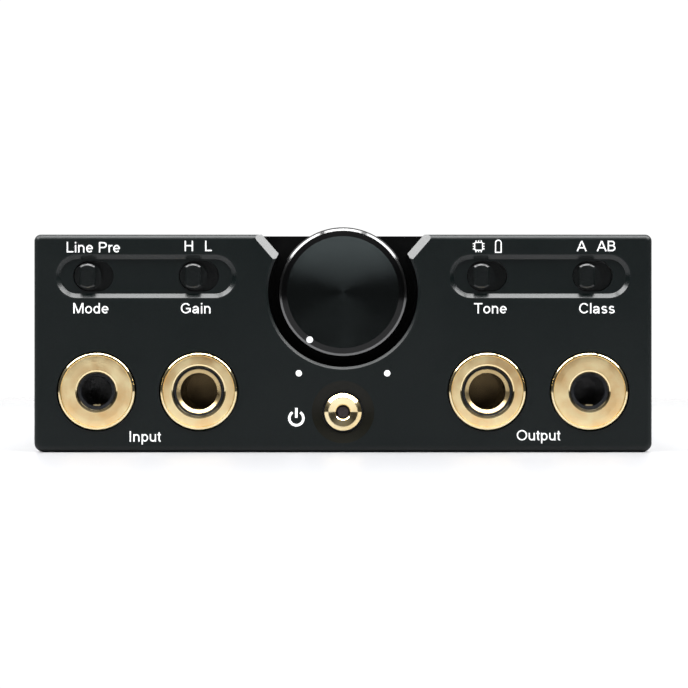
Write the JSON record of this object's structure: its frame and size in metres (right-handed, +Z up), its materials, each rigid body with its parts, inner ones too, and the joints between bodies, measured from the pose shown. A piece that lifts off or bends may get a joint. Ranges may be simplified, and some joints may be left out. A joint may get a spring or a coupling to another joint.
{
  "type": "headphone amplifier",
  "caption": "Portable battery headphone amplifier: flat metal case, top-notched volume knob, slide switches, gold 3.5 and 4.4 mm jacks, slide-out battery module.",
  "frame": {"origin": "on the resting surface, under the centre of the box", "axes": "+X to the user's right, +Y away from the user, +Z up; the control panel faces -Y"},
  "size_m": [0.075, 0.1604, 0.0273],
  "materials": {
    "panel_metal": "fine bead blast, dark anodised",
    "sleeve_metal": "fine bead blast, dark anodised",
    "knob_black": "gloss black anodised, spun face",
    "gold": "polished gold plate",
    "jack_black": "moulded",
    "slider_black": "satin dark metal",
    "lens_dark": "dark translucent",
    "window_glass": "smoked",
    "tube_glass": "clear",
    "gasket_rubber": "matt",
    "board_green": "solder mask",
    "switch_steel": "stamped",
    "lever_plastic": "moulded",
    "screw_steel": "black oxide",
    "pillar_brass": "turned",
    "anode_metal": "plate",
    "component_black": "moulded",
    "capacitor_can": "sleeved can",
    "cell_wrap": "shrink-wrapped cell",
    "tray_plastic": "moulded",
    "light_pipe": "frosted",
    "contact_gold": "gold flash"
  },
  "bodies": {
    "case": {"front_panel": "panel_metal", "housing_sleeve": "sleeve_metal", "case_screws": "screw_steel", "window_glass_left": "window_glass", "window_glass_right": "window_glass", "window_gaskets": "gasket_rubber", "main_board": "board_green", "switch_board": "board_green", "board_link_header": "component_black", "board_screws": "screw_steel", "tube_board": "board_green", "tube_board_pillars": "pillar_brass", "triode_tube_left": "tube_glass", "triode_tube_right": "tube_glass", "tube_anodes": "anode_metal", "tube_cradles": "gasket_rubber", "capacitors": "capacitor_can", "amplifier_chips": "component_black", "relays": "component_black", "battery_socket": "component_black", "volume_pot_body": "component_black", "volume_pot_bushing": "switch_steel", "volume_pot_nut": "switch_steel", "jack_barrels_44": "gold", "jack_contacts": "contact_gold", "power_switch_body": "switch_steel", "mode_switch_body": "switch_steel", "gain_switch_body": "switch_steel", "timbre_switch_body": "switch_steel", "class_switch_body": "switch_steel", "input_jack_35_bezel": "gold", "input_jack_35_body": "jack_black", "input_jack_44_bezel": "gold", "input_jack_44_body": "jack_black", "output_jack_35_bezel": "gold", "output_jack_35_body": "jack_black", "output_jack_44_bezel": "gold", "output_jack_44_body": "jack_black"},
    "volume_control": {"volume_knob": "knob_black", "knob_grub_screw": "screw_steel", "volume_pot_shaft": "switch_steel"},
    "mode_switch": {"mode_slider_cap": "slider_black", "mode_switch_lever": "lever_plastic"},
    "gain_switch": {"gain_slider_cap": "slider_black", "gain_switch_lever": "lever_plastic"},
    "timbre_switch": {"timbre_slider_cap": "slider_black", "timbre_switch_lever": "lever_plastic"},
    "class_switch": {"class_slider_cap": "slider_black", "class_switch_lever": "lever_plastic"},
    "power_key": {"power_button": "gold", "power_button_lens": "lens_dark"},
    "battery_module": {"battery_end_plate": "panel_metal", "battery_tray": "tray_plastic", "battery_cells": "cell_wrap", "battery_board": "board_green", "usb_c_socket": "switch_steel", "battery_plug": "component_black", "battery_led_pipes": "light_pipe", "captive_screws": "screw_steel"},
    "check_key": {"battery_check_button": "slider_black"}
  },
  "joints": [
    {"name": "volume_turn", "type": "hinge", "parent": "case", "child": "volume_control", "pos_m": [0, -0.07935, 0.0194], "axis": [0, 1, 0], "range_deg": [-6, 296]},
    {"name": "mode_slide", "type": "slide", "parent": "case", "child": "mode_switch", "axis": [1, 0, 0], "range_m": [0, 0.0014]},
    {"name": "gain_slide", "type": "slide", "parent": "case", "child": "gain_switch", "axis": [1, 0, 0], "range_m": [0, 0.0014]},
    {"name": "timbre_slide", "type": "slide", "parent": "case", "child": "timbre_switch", "axis": [1, 0, 0], "range_m": [0, 0.0014]},
    {"name": "class_slide", "type": "slide", "parent": "case", "child": "class_switch", "axis": [1, 0, 0], "range_m": [0, 0.0014]},
    {"name": "power_press", "type": "slide", "parent": "case", "child": "power_key", "axis": [0, 1, 0], "range_m": [0, 0.0005], "stiffness_N_per_m": 400, "springref_m": -0.0005},
    {"name": "battery_slide", "type": "slide", "parent": "case", "child": "battery_module", "axis": [0, 1, 0], "range_m": [0, 0.092]},
    {"name": "check_press", "type": "slide", "parent": "battery_module", "child": "check_key", "axis": [0, -1, 0], "range_m": [0, 0.0004], "stiffness_N_per_m": 400, "springref_m": -0.0005}
  ]
}
